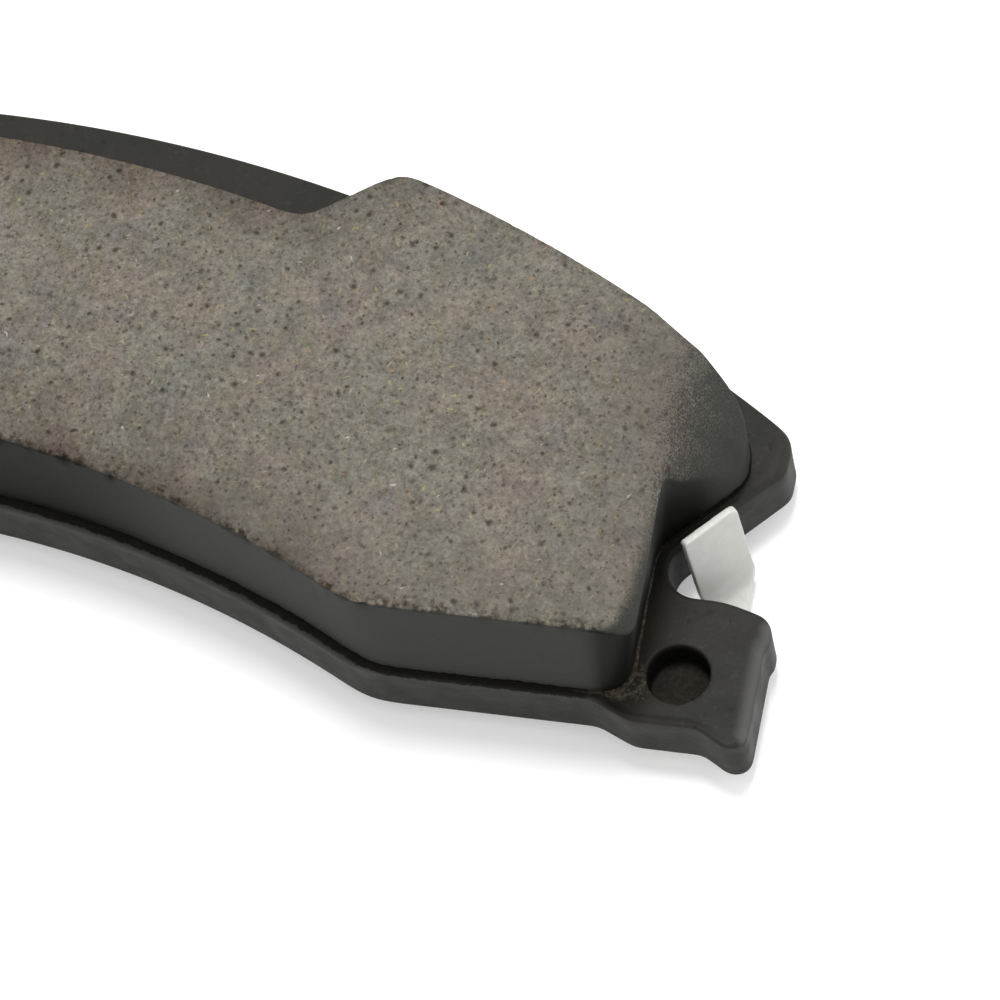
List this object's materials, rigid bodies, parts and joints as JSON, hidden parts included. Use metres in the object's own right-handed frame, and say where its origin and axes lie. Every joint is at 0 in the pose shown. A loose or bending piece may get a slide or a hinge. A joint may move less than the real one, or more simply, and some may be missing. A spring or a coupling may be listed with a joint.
{
  "type": "disc brake pad",
  "caption": "Disc brake pad: eared steel backing plate, chamfered friction block with a lowered outer edge, bonded noise shim and staked wear indicator strip.",
  "frame": {"origin": "bottom centre of the pad lying on its back, friction face up: the centre of its length and of its radial height, at the lowest point of the staked bosses", "axes": "+X along the pad towards the wear indicator, +Y away from the rotor's axis, +Z from the plate towards the rotor"},
  "size_m": [0.1654, 0.0544, 0.0193],
  "materials": {
    "plate_paint": "satin brownish charcoal paint on blasted steel",
    "cured_adhesive": "cured amber-brown adhesive film",
    "underlayer_compound": "rough, crumbly dark moulded compound",
    "friction_compound": "ground tan-grey face with dark pits and brass flecks, charcoal painted sides",
    "spring_steel": "bright plated spring strip, fine rolled grain",
    "shim_adhesive": "thin pressure-sensitive adhesive",
    "shim_rubber": "matt black nitrile coating",
    "shim_steel": "bare sheared edge of the shim's steel core"
  },
  "bodies": {
    "root": {"backing_plate": "plate_paint", "bond_film": "cured_adhesive", "underlayer": "underlayer_compound", "friction_block": "friction_compound", "wear_indicator": "spring_steel", "shim_adhesive": "shim_adhesive", "shim_inner_rubber": "shim_rubber", "shim_core": "shim_steel", "shim_outer_rubber": "shim_rubber"}
  },
  "joints": []
}
